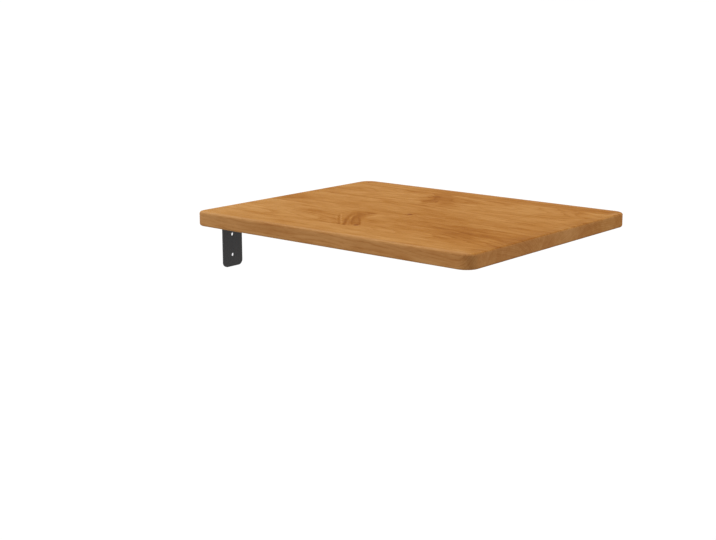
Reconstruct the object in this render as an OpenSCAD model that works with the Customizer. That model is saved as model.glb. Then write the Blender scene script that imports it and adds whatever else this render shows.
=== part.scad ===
// Bedside shelf: a board of solid oak staves on two bent steel brackets, which hook over and screw to
// what carries it. X runs across the staves with +X at the head end, -Y points to the free edge, +Z is up.
// The origin is the centre of the four leg holes, on the face of the legs that lies against the carrier.

/* [Board] */
// Width of the board, across the staves
board_w = 408; // [340:1:460]
// Depth of the board, along the staves
board_d = 500; // [440:1:560]
// Thickness of the board
board_t = 21; // [18:1:28]
// Radius of the four corners in plan
corner_r = 20; // [8:1:30]
// Radius of the softened arrises
arris_r = 3; // [1:0.5:5]
// How far the back edge of the board stands past the holding face of the legs
back_overlap = 6; // [5:0.5:12]

/* [Staves] */
// Width of a full stave
stave_w = 103; // [92:1:108]
// How far the middle stave lies off centre, towards the head end
stave_shift = 8.5; // [0:0.5:12]

/* [Brackets] */
// Distance between the centre lines of the two brackets
bracket_spacing = 260; // [220:1:280]
// Width of the flat steel
steel_w = 40; // [36:1:50]
// Thickness of the flat steel
steel_t = 3; // [3:0.5:4]
// Inside radius of the bend
bend_r = 3; // [2:0.5:4]
// Reach of the arm from the holding face of the leg
arm_reach = 325; // [320:1:380]
// Length of the leg below the seat of the arm
leg_drop = 70; // [64:1:90]
// Radius of the corners at the tips of arm and leg
tip_r = 8; // [3:0.5:14]

/* [Leg holes] */
// Diameter of the holes in the legs
leg_hole_d = 5.5; // [4:0.5:7]
// Distance between the two holes of a leg
leg_hole_gap = 32; // [25:1:36]
// Depth of the upper hole below the seat of the arm
leg_hole_drop = 20; // [16:1:24]

/* [Board screws] */
// Thread diameter of the board screws
screw_d = 5; // [4:0.5:6]
// Diameter of the countersunk head
head_d = 10; // [9:0.5:11]
// Height of the countersunk head
head_h = 2.6; // [2.4:0.1:2.8]
// Overall length of a screw
screw_len = 14; // [12:0.5:15]
// Width across the flats of the hex socket
socket_af = 3; // [2.5:0.5:3.5]
// Depth of the hex socket
socket_depth = 1.6; // [1:0.1:2]
// Number of screws in each arm
screws_per_arm = 4; // [3:1:5]
// Distance of the first screw from the holding face of the leg
first_screw = 16; // [14:0.5:18]
// Distance of the last screw from the tip of the arm
last_screw = 18; // [14:1:24]

/* [Inserts] */
// Outside diameter over the thread of an insert
insert_d = 8.5; // [8:0.5:10]
// Length of an insert
insert_len = 12; // [10:0.5:13]
// Number of thread ridges on an insert
insert_ridges = 5; // [3:1:7]
// Height of a thread ridge
ridge_h = 0.8; // [0.4:0.1:1]
// Depth of the blind hole past the end of the insert
hole_spare = 2; // [1:0.5:3]

/* [Pads] */
// Thickness of a felt pad
pad_t = 1; // [0.5:0.5:2]
// Depth of the seat that an arm rests on
seat_d = 30; // [28:1:34]
// Distance of a pad from the edges of the seat and of the arm
pad_margin = 4; // [2:0.5:5]

/* [Fits] */
// Radial clearance of a screw in the bracket's hole
screw_clear = 0.3; // [0.2:0.1:0.5]
// Radial clearance of a screw in its insert, and of an insert in the board
thread_clear = 0.05; // [0.05:0.05:0.1]
// Radial clearance of a screw head in the pad's hole
pad_clear = 1; // [0.5:0.5:1.5]

/* [Hidden] */
$fn = 96;

oak = [0.76, 0.53, 0.31];
oak_pale = [0.79, 0.56, 0.34];
oak_deep = [0.71, 0.48, 0.27];
powder_black = [0.10, 0.10, 0.11];
zinc = [0.72, 0.73, 0.75];
steel_bright = [0.62, 0.60, 0.55];
felt_grey = [0.25, 0.25, 0.26];

// Heights, counted up from the middle of the leg holes
seat_z = leg_hole_drop + leg_hole_gap / 2;
arm_z = seat_z + pad_t;
board_z = arm_z + steel_t;
leg_end = seat_z - leg_drop;

// Lines along the board, counted along Y from the holding face of the legs
board_back = back_overlap;
board_front = back_overlap - board_d;
screw_pitch = (arm_reach - last_screw - first_screw) / (screws_per_arm - 1);
screw_rows = [for (i = [0 : screws_per_arm - 1]) -first_screw - i * screw_pitch];

// Edges of the staves along X, from the head end to the foot end
joints = [for (k = [1.5, 0.5, -0.5, -1.5]) stave_shift + k * stave_w];
stave_edges = concat([board_w / 2], joints, [-board_w / 2]);

hole_d = screw_d + 2 * screw_clear;
sink_d = head_d + 2 * screw_clear;
blind_d = insert_d + 2 * thread_clear;
blind_len = insert_len + hole_spare;
insert_bore = screw_d + 2 * thread_clear;
head_side = bracket_spacing / 2;
foot_side = -bracket_spacing / 2;
margin = 1;

// Bar from the origin along X, with quarter rounds at its far end
module end_rounded(len, wide, r) {
    translate([0, -wide / 2]) square([len - r, wide]);
    translate([0, r - wide / 2]) square([len, wide - 2 * r]);
    for (s = [-1, 1]) translate([len - r, s * (wide / 2 - r)]) circle(r);
}

// Straight run of board edge: a bar of the board's thickness with its arrises along the far X side
module edge_bar(out, run) {
    translate([0, run / 2, board_t / 2]) rotate([90, 0, 0])
        linear_extrude(run) end_rounded(out, board_t, arris_r);
}

// The whole board before it is parted into staves, centred on the Z axis with its underside at 0
module board_form() {
    core_w = board_w - 2 * corner_r;
    core_d = board_d - 2 * corner_r;
    translate([-core_w / 2, -core_d / 2, 0]) cube([core_w, core_d, board_t]);
    for (s = [0, 180]) rotate([0, 0, s]) translate([core_w / 2, 0, 0]) edge_bar(corner_r, core_d);
    for (s = [90, 270]) rotate([0, 0, s]) translate([core_d / 2, 0, 0]) edge_bar(corner_r, core_w);
    for (q = [[1, 1, 0], [-1, 1, 90], [-1, -1, 180], [1, -1, 270]])
        translate([q[0] * core_w / 2, q[1] * core_d / 2, board_t / 2]) rotate([0, 0, q[2]])
            rotate_extrude(angle = 90) end_rounded(corner_r, board_t, arris_r);
}

// Blind holes for the inserts of both brackets, up from the board's underside
module insert_holes() {
    for (x = [head_side, foot_side]) for (y = screw_rows)
        translate([x, y, board_z - margin]) cylinder(d = blind_d, h = blind_len + margin);
}

// One stave: the board between two of the stave edges
module stave(i) {
    difference() {
        intersection() {
            translate([0, (board_back + board_front) / 2, board_z]) board_form();
            translate([stave_edges[i + 1], board_front - margin, board_z - margin])
                cube([stave_edges[i] - stave_edges[i + 1], board_d + 2 * margin, board_t + 2 * margin]);
        }
        insert_holes();
    }
}

module stave_head_edge() {
    color(oak_deep) stave(0);
}

module stave_head_inner() {
    color(oak) stave(1);
}

module stave_middle() {
    color(oak_pale) stave(2);
}

module stave_foot_inner() {
    color(oak_deep) stave(3);
}

module stave_foot_edge() {
    color(oak_pale) stave(4);
}

// Bent flat steel: the arm lies under the board, and the leg hangs from the bend at its back end
module bracket() {
    difference() {
        union() {
            translate([0, -bend_r, arm_z]) rotate([0, 0, -90])
                linear_extrude(steel_t) end_rounded(arm_reach - bend_r, steel_w, tip_r);
            translate([0, 0, arm_z - bend_r]) rotate([0, 90, 90])
                linear_extrude(steel_t) end_rounded(arm_z - bend_r - leg_end, steel_w, tip_r);
            translate([-steel_w / 2, -bend_r, arm_z - bend_r]) rotate([90, 0, 90])
                rotate_extrude(angle = 90) translate([bend_r, 0]) square([steel_t, steel_w]);
        }
        for (y = screw_rows) translate([0, y, arm_z]) {
            translate([0, 0, -margin]) cylinder(d = hole_d, h = steel_t + 2 * margin);
            cylinder(d1 = sink_d, d2 = hole_d, h = head_h);
        }
        for (z = [-1, 1]) translate([0, -margin, z * leg_hole_gap / 2]) rotate([-90, 0, 0])
            cylinder(d = leg_hole_d, h = steel_t + 2 * margin);
    }
}

module bracket_head() {
    color(powder_black) translate([head_side, 0, 0]) bracket();
}

module bracket_foot() {
    color(powder_black) translate([foot_side, 0, 0]) bracket();
}

// Section of a threaded insert: a sleeve with thread ridges, turned about the Y axis of the drawing
module insert_section() {
    root_r = insert_d / 2 - ridge_h;
    ridge_pitch = insert_len / insert_ridges;
    translate([insert_bore / 2, 0]) square([root_r - insert_bore / 2, insert_len]);
    for (i = [0 : insert_ridges - 1]) translate([root_r, i * ridge_pitch])
        polygon([[0, 0], [ridge_h, ridge_pitch / 2], [0, ridge_pitch]]);
}

module inserts(x) {
    for (y = screw_rows) translate([x, y, board_z]) rotate_extrude() insert_section();
}

module inserts_head() {
    color(steel_bright) inserts(head_side);
}

module inserts_foot() {
    color(steel_bright) inserts(foot_side);
}

// Countersunk screw with a hex socket, its head down and flush with the underside of the arm
module screw() {
    difference() {
        union() {
            cylinder(d1 = head_d, d2 = screw_d, h = head_h);
            cylinder(d = screw_d, h = screw_len);
        }
        translate([0, 0, -margin]) cylinder(d = socket_af / cos(30), h = socket_depth + margin, $fn = 6);
    }
}

module screws(x) {
    for (y = screw_rows) translate([x, y, arm_z]) screw();
}

module screws_head() {
    color(zinc) screws(head_side);
}

module screws_foot() {
    color(zinc) screws(foot_side);
}

// Felt pad between the arm and its seat, with a hole round the head of the first screw
module pad(x) {
    difference() {
        translate([x - steel_w / 2 + pad_margin, pad_margin - seat_d, seat_z])
            cube([steel_w - 2 * pad_margin, seat_d - 2 * pad_margin, pad_t]);
        translate([x, screw_rows[0], seat_z - margin])
            cylinder(d = head_d + 2 * pad_clear, h = pad_t + 2 * margin);
    }
}

module pad_head() {
    color(felt_grey) pad(head_side);
}

module pad_foot() {
    color(felt_grey) pad(foot_side);
}

stave_head_edge();
stave_head_inner();
stave_middle();
stave_foot_inner();
stave_foot_edge();
bracket_head();
bracket_foot();
inserts_head();
inserts_foot();
screws_head();
screws_foot();
pad_head();
pad_foot();
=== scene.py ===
"""Floating nightstand: oak staves on two bent steel brackets, with finishes, studio light and camera."""
import math

import bmesh
import bpy
import numpy as np
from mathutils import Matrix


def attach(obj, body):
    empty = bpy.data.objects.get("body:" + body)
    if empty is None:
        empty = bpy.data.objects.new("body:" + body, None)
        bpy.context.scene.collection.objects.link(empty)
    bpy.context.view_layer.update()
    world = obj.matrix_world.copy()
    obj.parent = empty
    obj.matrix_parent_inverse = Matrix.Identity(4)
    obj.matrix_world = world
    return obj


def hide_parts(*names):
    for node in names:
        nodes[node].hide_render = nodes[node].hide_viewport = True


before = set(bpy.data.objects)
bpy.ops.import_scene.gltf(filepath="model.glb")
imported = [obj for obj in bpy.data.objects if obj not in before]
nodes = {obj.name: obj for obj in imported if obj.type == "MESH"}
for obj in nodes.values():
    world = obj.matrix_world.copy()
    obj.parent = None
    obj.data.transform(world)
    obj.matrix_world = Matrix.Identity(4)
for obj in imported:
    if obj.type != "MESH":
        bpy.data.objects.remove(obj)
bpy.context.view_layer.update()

MM_PER_METRE = 1000.0

# Depth of each finish's relief in metres
OAK_RELIEF = 0.00012
COAT_RELIEF = 0.00011
ZINC_RELIEF = 0.00003
FELT_RELIEF = 0.00035


# Shader maths

class Value:
    """An output socket in a node tree. Arithmetic on it adds Math nodes to the same tree."""

    def __init__(self, graph, socket):
        self.graph = graph
        self.socket = socket

    def math(self, operation, *operands):
        return self.graph.node("ShaderNodeMath", {"operation": operation}, dict(enumerate(operands)))

    def __add__(self, other):
        return self.math("ADD", self, other)

    __radd__ = __add__

    def __sub__(self, other):
        return self.math("SUBTRACT", self, other)

    def __rsub__(self, other):
        return self.math("SUBTRACT", other, self)

    def __mul__(self, other):
        return self.math("MULTIPLY", self, other)

    __rmul__ = __mul__

    def __truediv__(self, other):
        return self.math("DIVIDE", self, other)

    def fract(self):
        return self.math("FRACT", self)

    def root(self):
        return self.math("SQRT", self)

    def size(self):
        return self.math("ABSOLUTE", self)

    def exp(self):
        return self.math("EXPONENT", self)

    def turn_to(self, other):
        return self.math("ARCTAN2", self, other)

    def least(self, other):
        return self.math("MINIMUM", self, other)

    def most(self, other):
        return self.math("MAXIMUM", self, other)

    def step(self, low, high):
        """0 below low, 1 above high and a smooth S between them; low may be the larger of the two."""
        return self.graph.node("ShaderNodeMapRange", {"interpolation_type": "SMOOTHSTEP"},
                               {"Value": self, "From Min": low, "From Max": high})


class Graph:
    """A node tree that is built up from values."""

    def __init__(self, tree):
        self.tree = tree

    def node(self, kind, settings=(), inputs=(), out=0):
        """Adds a node with its settings and its sockets' values or links. Returns one output, or the node."""
        made = self.tree.nodes.new(kind)
        for key, value in dict(settings).items():
            setattr(made, key, value)
        for key, value in dict(inputs).items():
            if isinstance(value, Value):
                self.tree.links.new(value.socket, made.inputs[key])
            else:
                made.inputs[key].default_value = value
        return made if out is None else Value(self, made.outputs[out])

    def coordinates(self, kind):
        """The x, y and z of one output of Texture Coordinate, such as Object or Normal."""
        place = self.node("ShaderNodeTexCoord", out=kind)
        parts = self.node("ShaderNodeSeparateXYZ", inputs={0: place}, out=None)
        return [Value(self, socket) for socket in parts.outputs]

    def noise(self, x, y, z, detail=2.0, rough=0.5, distortion=0.0):
        """Soft noise about 0, from about -0.5 to 0.5, at a point given in units of its own grain."""
        point = self.node("ShaderNodeCombineXYZ", inputs={0: x, 1: y, 2: z})
        return self.node("ShaderNodeTexNoise", {"noise_dimensions": "3D"},
                         {"Vector": point, "Scale": 1.0, "Detail": detail,
                          "Roughness": rough, "Distortion": distortion}) - 0.5

    def blend(self, factor, a, b):
        """Colour a turned towards colour b by factor. Mix keeps its colours on sockets 6, 7 and output 2."""
        return self.node("ShaderNodeMix", {"data_type": "RGBA"}, {0: factor, 6: a, 7: b}, out=2)

    def ramp(self, factor, tones):
        """Colour that runs through tones, each a place from 0 to 1 and a colour."""
        made = self.node("ShaderNodeValToRGB", inputs={0: factor}, out=None)
        stops = made.color_ramp.elements
        while len(stops) < len(tones):
            stops.new(0.5)
        for stop, (where, colour) in zip(stops, tones):
            stop.position = where
            stop.color = colour
        return Value(self, made.outputs[0])

    def rays(self):
        """Two values: 1 on rays from the camera, and 1 on those and on glossy and transmission rays."""
        path = self.node("ShaderNodeLightPath", out=None)
        camera, glossy, through = (Value(self, path.outputs[kind]) for kind in
                                   ("Is Camera Ray", "Is Glossy Ray", "Is Transmission Ray"))
        return camera, camera.most(glossy).most(through)


class Finish(Graph):
    """A material with one Principled shader, its uniform values, and the nodes that feed the rest."""

    def __init__(self, name, **uniform):
        self.material = bpy.data.materials.new(name)
        self.material.use_nodes = True
        super().__init__(self.material.node_tree)
        self.shader = self.tree.nodes["Principled BSDF"]
        for key, value in uniform.items():
            self.socket(key).default_value = value
        self.x, self.y, self.z = (part * MM_PER_METRE for part in self.coordinates("Object"))

    def socket(self, key):
        return self.shader.inputs[key.replace("_", " ")]

    def feed(self, **links):
        for key, value in links.items():
            self.tree.links.new(value.socket, self.socket(key))

    def bump(self, height, depth):
        """Relief from a height of 0 to 1 that stands for depth metres."""
        relief = {"Strength": 1.0, "Distance": depth, "Height": height}
        self.feed(Normal=self.node("ShaderNodeBump", inputs=relief))

    def grains(self, size, **options):
        """Noise in grains of one size in mm, alike in all directions."""
        return self.noise(self.x / size, self.y / size, self.z / size, **options)


def srgb(r, g, b):
    """Linear colour, with alpha, of an 8-bit display colour."""
    c = np.array([r, g, b]) / 255.0
    return (*np.where(c <= 0.04045, c / 12.92, ((c + 0.055) / 1.055) ** 2.4), 1.0)


# Oak

# Heights and places on the board in millimetres. A strip is where its effect begins and where it is full.
BOARD_TOP = 61.0
BOARD_MIDDLE = -244.0
# Strip of painted shade on the top by the free end
END_SHADE_STRIP = (-462.0, -492.0)
# Strip of painted highlight along each long edge
EDGE_HIGHLIGHT_STRIP = (191.0, 200.0)
BACK_STRIP = (-70.0, 0.0)
SEED_STEP = 7.31

# From the palest oak to the darkest, each with the shade at which it lies
OAK_TONES = (
    (0.00, srgb(214, 158, 93)),
    (0.30, srgb(199, 142, 76)),
    (0.55, srgb(183, 122, 53)),
    (0.80, srgb(163, 100, 32)),
    (1.00, srgb(141, 80, 18)),
)
SHADE_OF_PLAIN_OAK = 0.40
RAY_BROWN = srgb(166, 102, 40)
PORE_BROWN = srgb(106, 60, 18)
KNOT_RED = srgb(128, 54, 6)
KNOT_DARK = srgb(84, 30, 2)
# Painted light: the pinker, paler tint of the upright faces, for how they are lit
SIDE_PINK = srgb(194, 143, 122)
# Painted shade: the grey of the shaded arris and of the strip by the free end
ARRIS_SHADE_GREY = srgb(150, 126, 96)
# Painted highlight: the pale of the strip along each long edge
EDGE_HIGHLIGHT_PALE = srgb(222, 190, 160)
# Painted highlight: the pale of the glint where the arris near a corner catches the light
GLINT_PALE = srgb(230, 184, 128)


def square_distance(u, v, centre, reach):
    """Square of the distance from centre, where reach counts as 1 in each direction."""
    du = (u - centre[0]) / reach[0]
    dv = (v - centre[1]) / reach[1]
    return du * du + dv * dv


def spot(u, v, centre, reach):
    """Soft oval round centre: e to the minus of the square distance."""
    return (-1.0 * square_distance(u, v, centre, reach)).exp()


def stroke(u, v, start, end, width, bow=0.0, taper=1.0):
    """Soft line: t runs 0 to 1 from start to end, the line stands off sideways by bow * 4t(1 - t), and its
    half width goes from width to taper * width. The mask is e to the minus of (distance / half width)
    squared, and it fades over the first 0.22 and the last 0.25 of t."""
    length = math.hypot(end[0] - start[0], end[1] - start[1])
    cu = (end[0] - start[0]) / length
    cv = (end[1] - start[1]) / length
    t = ((u - start[0]) * cu + (v - start[1]) * cv) / length
    off = (v - start[1]) * cu - (u - start[0]) * cv - t * (1.0 - t) * (4.0 * bow)
    off = off / (width - t.most(0.0).least(1.0) * (width * (1.0 - taper)))
    return (-1.0 * (off * off)).exp() * t.step(0.0, 0.22) * t.step(1.0, 0.75)


def marks(u, v, spots=(), strokes=()):
    """Sum of spots and strokes. Each is an amount and what spot or stroke takes after u and v."""
    return sum([spot(u, v, *form) * amount for amount, *form in spots]
               + [stroke(u, v, *form) * amount for amount, *form in strokes])


def slanted(x, y, origin):
    """Frame in which a figure is laid out: its axes lie aslant to the stave, and a unit is about 1.5 mm
    along the first and 8 mm along the second."""
    dx = x - origin[0]
    dy = y - origin[1]
    return dx * 0.439 - dy * 0.529, dx * 0.0955 + dy * 0.0793


def crotch_figure(f, x, y):
    """Feathered figure of a branch cut along: an outer arch and a dark ring round a paler core, feathers on
    one side and a tapering wing on the other; and a few dark flecks nearer the free edge. Returns its
    shade, its push on the growth rings, how calm the grain stays in it, and its knot."""
    a, b = slanted(x, y, (-134.0, -248.4))
    a = a + f.noise(x / 14.0, y / 14.0, 2.0) * 2.0 + f.noise(x / 4.5, y / 3.0, 8.0) * 1.1
    b = b + f.noise(x / 20.0, y / 20.0, 5.0) * 1.6 + f.noise(x / 7.0, y / 4.0, 9.0) * 0.9
    skew = a - b * 0.10
    arch = square_distance(skew, b, (0.0, 0.0), (10.8, 12.6)).root()
    near = square_distance(skew, b, (0.5, 0.0), (4.3, 9.4)).root()
    above = b.step(-0.8, 0.8)
    veil = arch.step(1.75, 0.9) * a.step(9.0, 2.0) * above
    band = arch.step(0.66, 0.88) * arch.step(1.20, 0.90) * a.step(8.0, 3.0) * above
    ring = near.step(0.40, 0.85) * near.step(1.35, 1.0) * above
    core = near.step(1.05, 0.7) * above
    wing = stroke(a, b, (-2.5, 9.2), (25.5, 11.3), 4.8, 0.3, 0.10)
    feathers = marks(a, b, strokes=(
        (0.5, (-15.0, -1.8), (-16.0, 11.5), 1.6, 0.5, 0.6),
        (0.5, (-10.6, -2.0), (-9.0, 6.5), 1.3, 0.3, 0.8),
        (0.4, (-6.2, -1.0), (-5.2, 6.0), 1.1),
        (0.12, (-20.0, 0.0), (-23.0, 12.5), 2.6, -0.6, 0.7),
        (0.3, (-18.0, 0.3), (-8.5, 0.4), 1.2),
    ))
    gleam = marks(a, b, spots=(
        (0.24, (-24.5, 3.0), (5.0, 2.6)),
        (0.2, (0.5, -3.2), (8.0, 1.5)),
        (0.36, (1.4, 3.4), (2.6, 2.4)),
    ), strokes=(
        (0.6, (-12.8, -0.6), (-13.8, 12.0), 0.9, 0.4, 0.7),
        (0.12, (-17.8, -1.0), (-18.8, 11.0), 1.4, 0.5),
        (0.3, (-7.0, 2.5), (3.5, 10.8), 0.7, 1.3),
        (0.35, (9.0, 6.8), (32.0, 9.6), 1.1),
    ))
    flecks = marks(*slanted(x, y, (-70.0, -405.0)), spots=(
        (0.05, (0.0, 0.0), (30.0, 7.0)),
    ), strokes=(
        (0.10, (-22.0, 5.0), (20.0, -4.0), 1.2, 1.5),
        (0.10, (2.0, -3.0), (27.0, -10.0), 1.3, 1.0),
        (0.08, (-30.0, -1.0), (4.0, -8.0), 1.0, 1.0),
        (0.08, (8.0, 2.0), (34.0, -2.5), 1.1, 0.8),
    ))
    dark = (band * 0.6).most(ring * 0.8).most(core * 0.6).most(wing) + veil * 0.2 + feathers
    dark = dark * (1.0 + f.noise(a / 1.6, b / 6.0, 11.0) * 0.7)
    shade = (dark.least(1.05) - gleam) * 0.37 + flecks
    push = arch.step(2.0, 0.9) * b.step(-2.5, 1.0) * (arch * 22.0 - 18.0) * 0.4
    calm = 1.0 - arch.step(1.5, 0.9) * 0.65
    knot = (spot(a, b, (1.4, -0.2), (2.4, 0.6)) * 1.5).least(1.0) * 0.7
    return shade, push, calm, knot


def dark_patch(f, x, y):
    """Darker patch with two pointed tails. Returns what crotch_figure does, without a knot."""
    a, b = slanted(x, y, (128.0, -210.0))
    a = a + f.noise(x / 22.0, y / 22.0, 1.0) * 5.0
    b = b + f.noise(x / 22.0, y / 22.0, 4.0) * 2.0
    patch = (spot(a, b, (2.0, 0.8), (10.0, 7.6)) * 2.2).least(1.0) * a.step(-14.0, -6.0)
    patch = patch.most(spot(a, b, (16.0, -2.0), (17.0, 5.5)) * 0.38)
    tails = marks(a, b, strokes=(
        (0.18, (0.0, 2.0), (-17.0, 1.2), 1.2),
        (0.30, (-5.0, -2.6), (-27.0, -3.9), 2.0),
    ))
    return patch * 0.25 + tails, patch * 3.0, 1.0 - patch * 0.5, None


def pin_knot(x, y, centre, reach, depth, around, push):
    """Small knot, and its push on the growth rings around it."""
    return (spot(x, y, centre, reach) * depth).least(1.0), spot(x, y, centre, around) * push


def oak(name, pith, lean, ring, seed, tone=0.0, fade=0.0, end_tone=0.02, back_pale=0.0,
        figure=None, pin=None, spots=(), strokes=(), painted_glint_spots=()):
    """Oiled oak sawn from one tree: growth rings round a pith axis that leans a little off the grain.

    pith is where that axis crosses the middle of the board, lean its slope, and ring the mean width of a
    growth ring in mm. tone darkens the stave, fade darkens it by so much for each mm from its middle towards
    its back edge, end_tone darkens its sawn ends, and back_pale pales its back edge. The other values are
    the marks on its top, save the last, which are painted highlights where the arris near a corner catches
    the light."""
    f = Finish("oak_" + name, Roughness=0.6, IOR=1.45, Specular_IOR_Level=0.03)
    x, y, z = f.x, f.y, f.z
    s = seed * SEED_STEP
    along = y - BOARD_MIDDLE

    # What kind of surface this is, sawn end and side, and where light and shade are painted: a highlight near
    # a corner, shade on the arris and in the upright corners, shade in a strip by the free end, and a
    # highlight along each long edge
    nx, ny, nz = (part.size() for part in f.coordinates("Normal"))
    end = ny.step(0.55, 0.95)
    side = nz.step(0.9, 0.3)
    # Painted highlight near a corner, which also holds back the painted shade there
    painted_glint = marks(x, y, painted_glint_spots) * (1.0 - side)
    outside_glint = 1.0 - painted_glint * 3.0
    # Painted shade on the arris between the top and the ends
    arris_shade = (ny * nz * 2.0).step(0.3, 1.0) * outside_glint
    # Painted shade in the rounded upright corners
    corner = (ny * nx * 2.0).step(0.5, 1.0)
    # Painted shade on the top in a strip by the free end
    end_shade = y.step(*END_SHADE_STRIP) * (1.0 - side) * outside_glint
    # Painted highlight along each long edge's arris
    edge_highlight = x.size().step(*EDGE_HIGHLIGHT_STRIP) * (1.0 - side)

    # Distance and bearing from the pith, both made uneven
    drift = f.noise(x / 46.0 + s, y / 170.0, z / 46.0, detail=1.0) * 13.0
    wander = f.noise(x / 12.0, y / 62.0 + s, z / 12.0, detail=1.5) * 2.8
    across = x - pith[0] - along * lean[0]
    up = z - pith[1] - along * lean[1]
    radius = (across * across + up * up).root() + drift + wander
    angle = up.turn_to(across)

    # Marks of this stave, laid out on its top and slanting off towards the underside
    below = BOARD_TOP - z
    px = x - below * 0.5
    py = y + below * 0.4
    # Painted shade: darker in the strip by the free end, on the arris and in the upright corners
    shade = (along * fade + tone) * (1.0 - end * 0.7) + end_shade * 0.09 + arris_shade * 0.08 + corner * 0.10
    shade = shade + end * end_tone - y.step(*BACK_STRIP) * back_pale + marks(px, py, spots, strokes)
    calm = 1.0
    knot = None
    if figure:
        mark, push, calm, knot = figure(f, px, py)
        shade = shade + mark
        radius = radius + push
    if pin:
        knot, push = pin_knot(px, py, **pin)
        radius = radius + push

    # Growth rings with their porous early wood, and the finer structure along the grain
    rings = radius / ring + f.noise(radius / 11.0, s, y / 900.0, detail=1.0) * 2.2
    phase = rings.fract()
    early = phase.step(0.45, 0.0).most(phase.step(0.92, 1.0))
    bands = f.noise(radius / 6.5, s + 3.0, y / 120.0, detail=3.0)
    clouds = f.noise(x / 55.0, y / 120.0 + s, z / 55.0, detail=2.0)
    streaks = f.noise(x / 4.5 + s, y / 32.0, z / 4.5, detail=3.0, rough=0.6, distortion=0.15)
    fibre = f.noise(x / 0.7, y / 16.0 + s, z / 0.7, detail=3.0, rough=0.65)
    pores = f.noise(x / 0.45 + s, y / 6.0, z / 0.45, detail=1.0).step(0.10, 0.26)
    pores = pores * (0.2 + 0.8 * early)
    rays = f.noise(angle * 200.0, y / 12.0, radius / 24.0 + s, detail=1.0).step(0.17, 0.27)
    grain = early * 0.15 + bands * 0.58 + clouds * 0.72 + streaks * 0.66 + fibre * 0.5
    shade = shade + grain * (1.0 - end * 0.2) * calm

    colour = f.ramp(shade + SHADE_OF_PLAIN_OAK, OAK_TONES)
    colour = f.blend(rays * 0.35, colour, RAY_BROWN)
    colour = f.blend(pores * 0.5, colour, PORE_BROWN)
    if knot:
        whorl = (knot * 3.0 + f.grains(1.3) * 1.2).fract().step(0.1, 0.9)
        colour = f.blend(knot * 0.95, colour, f.blend(whorl * 0.6, KNOT_RED, KNOT_DARK))
    # Painted light: the upright faces turn pinker and paler, for how they are lit
    colour = f.blend(side * (0.155 - end * x.step(40.0, 140.0) * 0.05), colour, SIDE_PINK)
    # Painted shade: the strip by the free end and the arris turn greyer
    colour = f.blend((end_shade * 0.05).most(arris_shade * 0.06), colour, ARRIS_SHADE_GREY)
    # Painted highlight: a pale strip along each long edge
    colour = f.blend(edge_highlight * 0.12, colour, EDGE_HIGHLIGHT_PALE)
    # Painted highlight: a pale glint on the arris near a corner
    colour = f.blend(painted_glint, colour, GLINT_PALE)
    f.feed(Base_Color=colour, Roughness=0.62 + pores * 0.2 + fibre * 0.1)
    f.bump(0.5 + fibre * 0.25 - pores * 0.6 - early * 0.12, OAK_RELIEF)
    return f.material


STAVES = {
    "stave_head_edge": dict(
        pith=(60.0, -40.0), lean=(0.012, 0.02), ring=2.7, seed=1, tone=0.10,
        pin=dict(centre=(182.0, -15.0), reach=(2.4, 3.6), depth=0.7, around=(8.0, 20.0), push=5.0),
        spots=(
            (-0.08, (182.0, -122.0), (20.0, 55.0)),
            (0.09, (178.0, -367.0), (18.0, 30.0)),
        ),
        # Painted highlight where the arris by the outer corner catches the light
        painted_glint_spots=((0.30, (176.0, -487.0), (12.0, 6.0)),),
    ),
    "stave_head_inner": dict(
        pith=(122.0, -90.0), lean=(-0.02, 0.06), ring=3.1, seed=2, figure=dark_patch,
        spots=(
            (0.11, (112.0, -148.0), (15.0, 24.0)),
            (-0.10, (102.0, -274.0), (17.0, 20.0)),
            (-0.12, (66.0, -418.0), (15.0, 26.0)),
        ),
        strokes=((-0.13, (74.0, 40.0), (76.0, -240.0), 9.0),),
    ),
    "stave_middle": dict(
        pith=(90.0, -75.0), lean=(0.03, -0.03), ring=2.8, seed=3, tone=0.02, end_tone=-0.07,
        pin=dict(centre=(-19.0, -258.0), reach=(2.7, 4.2), depth=1.5, around=(7.0, 22.0), push=6.0),
        spots=(
            (0.08, (5.0, -400.0), (40.0, 90.0)),
            (0.10, (20.0, -425.0), (9.0, 55.0)),
            (0.09, (0.0, -15.0), (45.0, 25.0)),
            (-0.11, (-22.0, -320.0), (11.0, 55.0)),
            (-0.13, (-25.0, -171.0), (10.0, 17.0)),
            (-0.12, (46.0, -125.0), (17.0, 50.0)),
            (-0.11, (52.0, -418.0), (15.0, 26.0)),
        ),
        strokes=(
            (0.2, (-22.0, -246.0), (-5.0, -272.0), 1.0, 1.5),
            (0.16, (-36.0, 0.0), (8.0, -38.0), 6.5, -4.0),
        ),
    ),
    "stave_foot_inner": dict(
        pith=(-150.0, -60.0), lean=(0.02, 0.05), ring=3.0, seed=4, tone=0.04, fade=-0.0005,
        back_pale=0.08, figure=crotch_figure,
        spots=(
            (-0.08, (-95.0, -50.0), (45.0, 60.0)),
            (-0.11, (-139.0, -315.0), (11.0, 50.0)),
            (-0.09, (-102.0, -280.0), (15.0, 18.0)),
        ),
    ),
    "stave_foot_edge": dict(
        pith=(-80.0, -20.0), lean=(-0.01, 0.02), ring=2.6, seed=5, tone=-0.04, fade=-0.0002,
        back_pale=0.08,
        spots=(
            (-0.08, (-152.0, -315.0), (8.0, 45.0)),
            (0.14, (-151.0, -237.0), (7.0, 15.0)),
        ),
        strokes=((-0.09, (-158.0, -200.0), (-155.0, -300.0), 4.0),),
        # Painted highlight where the arris by the outer corner catches the light
        painted_glint_spots=((0.17, (-193.0, -471.0), (7.0, 11.0)),),
    ),
}
for node_name, cut in STAVES.items():
    nodes[node_name].material_slots[0].material = oak(node_name, **cut)


# Metal and felt

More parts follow.
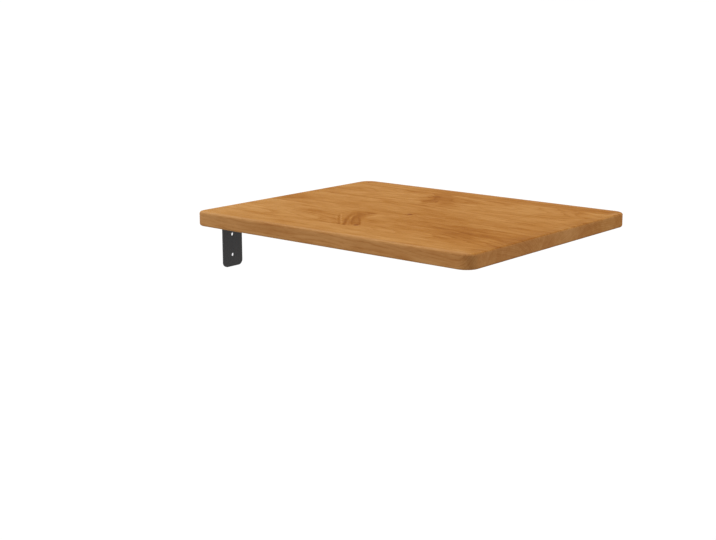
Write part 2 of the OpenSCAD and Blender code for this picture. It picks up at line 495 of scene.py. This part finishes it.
# Sizes of the steelwork and the pads in millimetres, as in the source
SIDE_X = 130.0
STEEL_HALF = 20.0
STEEL_T = 3.0
BEND_R = 3.0
BEND_Z = 34.0
BENT_RUN = math.pi / 2 * (BEND_R + STEEL_T / 2)
ARM_RUN = 322.0
LEG_RUN = 68.0
TIP_R = 8.0
LEG_HOLE_Z = 16.0
SCREW_PITCH = 97.0
SCREW_ROWS = tuple(-16.0 - SCREW_PITCH * k for k in range(4))
ARM_Z = 37.0
PAD_Z = 36.0
PAD_T = 1.0
PAD_Y = -15.0
PAD_HALF_X = 16.0
PAD_HALF_Y = 11.0
PAD_CORNER = 1.6
SOCKET_HALF = 1.5
SOCKET_FLOOR = 1.6
SOCKET_TIP = 1.85
SCREW_LENGTH = 14.0
SCREW_POINT_R = 1.8
THREAD_START = 2.7
THREAD_PITCH = 0.8
THREAD_R = 2.47
THREAD_DEPTH = 0.42
POINT_CHAMFER = 0.7

# Radius and height of each ring of a hole's wall, from the underside up
DRILLED = ((3.05, 0.0), (2.84, 0.09), (2.75, 0.3), (2.75, 2.7), (2.84, 2.91), (3.05, 3.0))
SUNK = ((5.46, 0.0), (5.3, 0.08), (5.1, 0.22), (2.84, 2.57), (2.8, 2.7), (2.86, 2.91), (3.0, 3.0))
CUT_IN_FELT = ((6.34, 0.0), (6.1, 0.1), (6.0, 0.36), (6.0, 0.64), (6.1, 0.9), (6.34, 1.0))

# The same for a screw's head, from the mouth of its socket over the cone to the shank
SCREW_HEAD = ((1.95, 0.0), (4.66, 0.0), (4.8, 0.03), (4.86, 0.12), (2.5, 2.57))

# Half the length of the cell round each screw hole along the arm, and the turn in radians between screws
SCREW_CELLS = (13.0, 20.0, 20.0, 20.0)
SCREW_TURN = 2.4

# Radius of the soft edges
STEEL_EASE = 0.4
FELT_EASE = 0.36

# How finely the pieces are divided, and within what distance places and points count as one
QUARTER_POINTS = 9
EASE_POINTS = 5
CELL_POINTS = 13
PAD_POINTS = 17
SCREW_SIDES = 36
THREAD_STEP = 0.1
SAME_PLACE_MM = 1e-4
SAME_POINT_M = 2e-7


def powder_coat():
    """Matt black powder coat: fine orange peel over a sparse, slightly paler grit."""
    f = Finish("powder_coat", Roughness=0.5)
    peel = f.grains(1.1)
    grit = f.grains(0.24, detail=1.0)
    speck = f.grains(0.5).step(0.2, 0.32)
    colour = f.blend(0.5 + grit * 1.4, srgb(26, 26, 28), srgb(46, 46, 48))
    colour = f.blend(speck * 0.5, colour, srgb(66, 66, 68))
    f.feed(Base_Color=colour, Roughness=0.5 + peel * 0.3 + grit * 0.1)
    f.bump(0.5 + peel * 0.8 + grit * 0.4, COAT_RELIEF)
    return f.material


def zinc(name, pale, dull):
    """Zinc plate on turned steel: faint clouds, and turning marks in rings round the axis of each screw."""
    f = Finish(name, Metallic=1.0)
    cloud = f.grains(2.5, detail=3.0)
    dx = f.x.size() - SIDE_X
    dy = (((f.y - SCREW_ROWS[0]) / SCREW_PITCH + 0.5).fract() - 0.5) * SCREW_PITCH
    mark = f.noise((dx * dx + dy * dy).root() / 0.14, cloud * 1.5, f.z / 0.14)
    colour = f.blend(0.5 + cloud + mark * 0.5, pale, dull)
    f.feed(Base_Color=colour, Roughness=0.32 + cloud * 0.2 + mark * 0.16)
    f.bump(0.5 + mark, ZINC_RELIEF)
    return f.material


def felt():
    """Pressed felt: matted dark fibres with paler ones that cross them two ways."""
    f = Finish("felt", Roughness=0.95, Specular_IOR_Level=0.2)
    x, y, z = f.x, f.y, f.z
    mat = f.grains(0.8, detail=4.0, rough=0.75)
    one = f.noise((x + y) / 0.16, (x - y) / 1.6, z / 0.3, distortion=0.6).step(0.08, 0.2)
    two = f.noise((x * 1.4 - y * 0.6) / 0.16, (x + y * 1.6) / 1.8, z / 0.3, distortion=0.6)
    two = two.step(0.1, 0.22)
    colour = f.blend(0.5 + mat * 1.8, srgb(66, 66, 69), srgb(112, 112, 115))
    colour = f.blend(one * 0.6, colour, srgb(156, 155, 154))
    colour = f.blend(two * 0.5, colour, srgb(140, 139, 139))
    f.feed(Base_Color=colour)
    f.bump(0.5 + mat + (one + two) * 0.25, FELT_RELIEF)
    return f.material


def grid(points, closed=False):
    """Quads over a grid of points (rows, columns, 3); closed joins each row's last point to its first."""
    rows, columns = points.shape[:2]
    index = np.arange(rows * columns).reshape(rows, columns)
    if closed:
        index = np.concatenate([index, index[:, :1]], axis=1)
    quads = np.stack([index[:-1, :-1], index[:-1, 1:], index[1:, 1:], index[1:, :-1]], axis=-1)
    return points.reshape(-1, 3), quads.reshape(-1, 4)


def smooth_by_area(mesh):
    """Gives each point the mean of its faces' normals weighted by area, so that flats stay flat."""
    corner = np.empty(len(mesh.loops), dtype=np.int64)
    mesh.loops.foreach_get("vertex_index", corner)
    sides = np.empty(len(mesh.polygons), dtype=np.int64)
    mesh.polygons.foreach_get("loop_total", sides)
    area = np.empty(len(mesh.polygons))
    mesh.polygons.foreach_get("area", area)
    normal = np.empty(len(mesh.polygons) * 3)
    mesh.polygons.foreach_get("normal", normal)
    share = np.repeat(normal.reshape(-1, 3) * area[:, None], sides, axis=0)
    total = np.stack([np.bincount(corner, part, len(mesh.vertices)) for part in share.T], axis=1)
    mesh.shade_smooth()
    mesh.normals_split_custom_set_from_vertices(total / np.linalg.norm(total, axis=1, keepdims=True))


def piece(name, grids, finish, node_name):
    """One closed mesh of several grids in millimetres: their shared points are merged and its faces turned
    outwards."""
    starts = np.cumsum([0] + [len(p) for p, _ in grids[:-1]])
    points = np.concatenate([p for p, _ in grids]) / MM_PER_METRE
    faces = np.concatenate([quads + start for (_, quads), start in zip(grids, starts)])
    mesh = bpy.data.meshes.new(name)
    mesh.from_pydata(points, [], faces)
    work = bmesh.new()
    work.from_mesh(mesh)
    bmesh.ops.remove_doubles(work, verts=work.verts, dist=SAME_POINT_M)
    bmesh.ops.recalc_face_normals(work, faces=work.faces)
    work.to_mesh(mesh)
    work.free()
    smooth_by_area(mesh)
    mesh.materials.append(finish)
    made = bpy.data.objects.new(name, mesh)
    bpy.context.scene.collection.objects.link(made)
    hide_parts(node_name)
    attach(made, "root")
    return made


def round_ended(stations, half, radius):
    """Outline of a strip with rounded ends, as points (along, across) and outward normals. It runs up the
    side across = half through the stations, round a quarter, over the end, round a quarter, and back the
    same way."""
    turn = np.linspace(0.0, np.pi / 2, QUARTER_POINTS)
    quarter = np.stack([np.sin(turn), np.cos(turn)], axis=1)
    other = quarter[::-1] * (1, -1)
    over = np.linspace(half - radius, radius - half, QUARTER_POINTS)[1:-1]
    flat = np.stack([np.full_like(over, radius), over], axis=1)
    shift = (0, half - radius)
    tip = np.concatenate([quarter * radius + shift, flat, other * radius - shift])
    out = np.concatenate([quarter, np.tile((1.0, 0.0), (len(over), 1)), other])
    run = np.stack([stations[1:-1], np.full(len(stations) - 2, half)], axis=1)
    up = np.tile((0.0, 1.0), (len(run), 1))
    points = np.concatenate([(stations[0], 0) - tip, run, tip + (stations[-1], 0), run[::-1] * (1, -1)])
    return points, np.concatenate([-out, up, out, -up])


def rim(points, normals, ease, thick):
    """Edge of a plate along its outline: a quarter round of radius ease, a flat, and a quarter round."""
    turn = np.linspace(0.0, np.pi / 2, EASE_POINTS)
    inset = np.concatenate([1.0 - np.sin(turn), 1.0 - np.cos(turn)]) * ease
    height = np.concatenate([thick - ease + np.cos(turn) * ease, ease - np.sin(turn) * ease])
    flat = points[None] - normals[None] * inset[:, None, None]
    return np.concatenate([flat, np.broadcast_to(height[:, None, None], (*flat.shape[:2], 1))], axis=-1)


def bored(border, centre, profile):
    """Plate round one hole at (centre, 0). On each ray from there to a border point it runs over the
    underside to the hole, up the hole's wall, which has radius r at each height of the profile, and over
    the top back to the border."""
    border = border[np.argsort(np.arctan2(border[:, 1], border[:, 0] - centre))]
    middle = (centre, 0.0)
    ray = border - middle
    ray = ray / np.linalg.norm(ray, axis=1, keepdims=True)
    wall = [(middle + ray * r, h) for r, h in profile]
    low, low_h = wall[0]
    high, high_h = wall[-1]
    rows = [(border, low_h), ((border + low) / 2, low_h), *wall,
            ((border + high) / 2, high_h), (border, high_h)]
    return np.stack([np.concatenate([p, np.full((len(p), 1), h)], axis=1) for p, h in rows])


def bend(strip, x):
    """Takes a flat blank (along, across, height) to its bent form: the leg hangs below the bend, the bend
    turns the blank through a right angle over BENT_RUN, and the arm runs on from it towards -Y."""
    along, across, height = strip[..., 0], strip[..., 1], strip[..., 2]
    angle = np.clip(along / BENT_RUN, 0.0, 1.0) * np.pi / 2
    reach = BEND_R + height
    y = reach * np.cos(angle) - BEND_R - np.maximum(along - BENT_RUN, 0.0)
    z = BEND_Z + reach * np.sin(angle) + np.minimum(along, 0.0)
    return np.stack([x + across, y, z], axis=-1)


def bracket(end, x, finish):
    """Bent bracket: cells with one hole each, plain bands between them, and one rim round the whole blank.
    A cell is the hole's centre and profile, and where the cell begins and ends along the blank."""
    cells = [(-LEG_HOLE_Z - BEND_Z, DRILLED, -LEG_RUN, -BEND_Z), (LEG_HOLE_Z - BEND_Z, DRILLED, -BEND_Z, 0.0)]
    for row, half in zip(SCREW_ROWS, SCREW_CELLS):
        centre = BENT_RUN - BEND_R - row
        high = BENT_RUN + ARM_RUN if row == SCREW_ROWS[-1] else centre + half
        cells.append((centre, SUNK, centre - half, high))
    bands = [(0.0, BENT_RUN)] + [(a[3], b[2]) for a, b in zip(cells[2:-1], cells[3:])]

    # Stations lie between the rounded tips
    first = TIP_R - LEG_RUN
    last = BENT_RUN + ARM_RUN - TIP_R
    runs = [(max(low, first), min(high, last)) for _, _, low, high in cells] + bands
    stations = np.concatenate([np.linspace(low, high, CELL_POINTS) for low, high in runs])
    stations = stations[np.unique(np.round(stations, 6), return_index=True)[1]]

    outline, normals = round_ended(stations, STEEL_HALF, TIP_R)
    inner = outline - normals * STEEL_EASE
    across = np.linspace(STEEL_EASE - STEEL_HALF, STEEL_HALF - STEEL_EASE, CELL_POINTS)
    grids = [grid(bend(rim(outline, normals, STEEL_EASE, STEEL_T), x), closed=True)]
    for centre, profile, low, high in cells:
        inside = (inner[:, 0] > low + SAME_PLACE_MM) & (inner[:, 0] < high - SAME_PLACE_MM)
        lines = [np.stack([np.full(CELL_POINTS, s), across], axis=1) for s in (low, high) if first < s < last]
        plate = bored(np.concatenate([inner[inside], *lines]), centre, profile)
        grids.append(grid(bend(plate, x), closed=True))
    for low, high in bands:
        along = stations[(stations > low - SAME_PLACE_MM) & (stations < high + SAME_PLACE_MM)]
        for height in (0.0, STEEL_T):
            plane = np.meshgrid(along, across, [height], indexing="ij")
            grids.append(grid(bend(np.stack(plane, axis=-1)[:, :, 0], x)))
    piece("bent_bracket_" + end, grids, finish, "bracket_" + end)


def screw_form(turned):
    """Countersunk screw about the Z axis, head down at 0. Each ring has a radius and a height at every
    angle: a hex socket with radius SOCKET_HALF / cos(angle from the flat's middle), a chamfered mouth, an
    eased cone, and a thread whose depth is a V wave of height / THREAD_PITCH - turns. The thread runs out
    under the head and is cut off by a chamfer at the point."""
    angle = np.arange(SCREW_SIDES) * (2 * np.pi / SCREW_SIDES)
    flat = SOCKET_HALF / np.cos((angle + np.pi / 6) % (np.pi / 3) - np.pi / 6)
    plain = np.ones(SCREW_SIDES)
    rings = [(plain * 0.0, plain * SOCKET_TIP), (flat, plain * SOCKET_FLOOR),
             (flat, (SCREW_HEAD[0][0] - flat) * 0.6)]
    rings += [(plain * r, plain * h) for r, h in SCREW_HEAD]
    level = np.arange(THREAD_START, SCREW_LENGTH - THREAD_STEP / 2, THREAD_STEP)[:, None]
    wave = np.abs(2.0 * ((level / THREAD_PITCH - angle / (2 * np.pi)) % 1.0) - 1.0)
    run_out = np.clip((level - THREAD_START - THREAD_STEP) / THREAD_PITCH, 0.0, 1.0)
    cut = np.clip(wave * 1.25 - 0.12, 0.0, 1.0) * run_out
    chamfer = np.maximum(level - (SCREW_LENGTH - POINT_CHAMFER), 0.0) * 0.9
    thread = THREAD_R - np.maximum(cut * THREAD_DEPTH, chamfer)
    rings += [(row, plain * h) for row, h in zip(thread, level[:, 0])]
    rings += [(plain * r, plain * SCREW_LENGTH) for r in (SCREW_POINT_R, 0.0)]
    radius, height = (np.array(part) for part in zip(*rings))
    return np.stack([radius * np.cos(angle + turned), radius * np.sin(angle + turned), height], axis=-1)


def screws(end, x, finish):
    """The screws of one bracket, each turned to where it came tight."""
    grids = [grid(screw_form(SCREW_TURN * k + x) + (x, y, ARM_Z), closed=True)
             for k, y in enumerate(SCREW_ROWS)]
    piece("sunk_screws_" + end, grids, finish, "screws_" + end)


def felt_pad(end, x, finish):
    """Pad cut from pressed felt: a strip with small round corners, a hole round the screw head, soft edges,
    and an outline that wavers inwards by up to 0.16 mm, as three sines of different pitch along it."""
    run = PAD_HALF_Y - PAD_CORNER
    outline, normals = round_ended(np.linspace(-run, run, PAD_POINTS), PAD_HALF_X, PAD_CORNER)
    along = np.linspace(0.0, 2 * np.pi, len(outline), endpoint=False)[:, None]
    waver = np.sin(along * 5 + x) + np.sin(along * 13 + 1.0) + np.sin(along * 29 + 2.0)
    outline = outline - normals * (0.08 + waver * 0.026)
    edge = rim(outline, normals, FELT_EASE, PAD_T)
    flat = bored(outline - normals * FELT_EASE, SCREW_ROWS[0] - PAD_Y, CUT_IN_FELT)
    grids = [grid(np.stack([x + g[..., 1], g[..., 0] + PAD_Y, g[..., 2] + PAD_Z], axis=-1), closed=True)
             for g in (edge, flat)]
    made = piece("felt_pad_" + end, grids, finish, "pad_" + end)


coat = powder_coat()
white_zinc = zinc("zinc_plate", srgb(205, 208, 212), srgb(168, 172, 178))
yellow_zinc = zinc("yellow_zinc", srgb(196, 178, 128), srgb(160, 140, 96))
grey_felt = felt()
for end, side_x in (("head", SIDE_X), ("foot", -SIDE_X)):
    bracket(end, side_x, coat)
    screws(end, side_x, white_zinc)
    felt_pad(end, side_x, grey_felt)
    nodes["inserts_" + end].material_slots[0].material = yellow_zinc


# Studio

FLOOR_Z = -0.75
FLOOR_REACH = 90.0
FLOOR_GLOW = 0.58
SKY_LIGHT = 0.30
BLACK = (0.0, 0.0, 0.0, 1.0)
GREY = (0.5, 0.5, 0.5, 1.0)
WHITE = (1.0, 1.0, 1.0, 1.0)


def floor_piece():
    """Flat square floor that keeps the object's shadow. Its glow is there for what is seen, and doesn't
    light the object, and from below the floor is clear to the camera."""
    u, v = np.meshgrid([-FLOOR_REACH, FLOOR_REACH], [-FLOOR_REACH, FLOOR_REACH])
    points = np.stack([u.ravel(), v.ravel(), np.full(4, FLOOR_Z)], axis=1)
    mesh = bpy.data.meshes.new("studio_floor")
    mesh.from_pydata(points.tolist(), [], [(0, 1, 3, 2)])
    floor = bpy.data.objects.new("studio_floor", mesh)
    bpy.context.scene.collection.objects.link(floor)
    f = Finish("studio_floor", Base_Color=GREY, Roughness=0.9, Specular_IOR_Level=0.0,
               Emission_Strength=FLOOR_GLOW)
    camera_ray, seen = f.rays()
    f.feed(Emission_Color=f.blend(seen, BLACK, WHITE))
    clear = f.node("ShaderNodeBsdfTransparent")
    back = f.node("ShaderNodeNewGeometry", out="Backfacing")
    solid = Value(f, f.shader.outputs["BSDF"])
    mixed = f.node("ShaderNodeMixShader", inputs={0: back * camera_ray, 1: solid, 2: clear})
    f.tree.links.new(mixed.socket, f.tree.nodes["Material Output"].inputs["Surface"])
    mesh.materials.append(f.material)


def sky():
    """White world to what is seen, and a weaker one to the light on the object."""
    world = bpy.data.worlds.new("studio")
    world.use_nodes = True
    bpy.context.scene.world = world
    background = world.node_tree.nodes["Background"]
    background.inputs["Color"].default_value = WHITE
    seen = Graph(world.node_tree).rays()[1]
    level = seen * (1.0 - SKY_LIGHT) + SKY_LIGHT
    world.node_tree.links.new(level.socket, background.inputs["Strength"])


def sun(name, strength, azimuth, elevation, softness):
    """A broad, even lamp from a compass direction (0 from -Y, 90 from +X) and a height above the horizon."""
    lamp = bpy.data.lights.new(name, "SUN")
    lamp.energy = strength
    lamp.angle = math.radians(softness)
    holder = bpy.data.objects.new(name, lamp)
    holder.rotation_euler = (math.radians(90.0 - elevation), 0.0, math.radians(azimuth))
    bpy.context.scene.collection.objects.link(holder)


floor_piece()
sky()
sun("left_light", strength=1.28, azimuth=-115.0, elevation=45.0, softness=30.0)
sun("right_light", strength=1.52, azimuth=50.0, elevation=45.0, softness=30.0)

lens = bpy.data.cameras.new("camera")
lens.lens = 63.86
lens.sensor_width = 36.0
lens.clip_start = 0.05
lens.clip_end = 400.0
camera = bpy.data.objects.new("camera", lens)
camera.location = (-1.48177, -1.37667, 0.38764)
camera.rotation_euler = (math.radians(77.427), 0.0, math.radians(-50.208))
bpy.context.scene.collection.objects.link(camera)
bpy.context.scene.camera = camera
bpy.context.scene.view_settings.view_transform = "Standard"
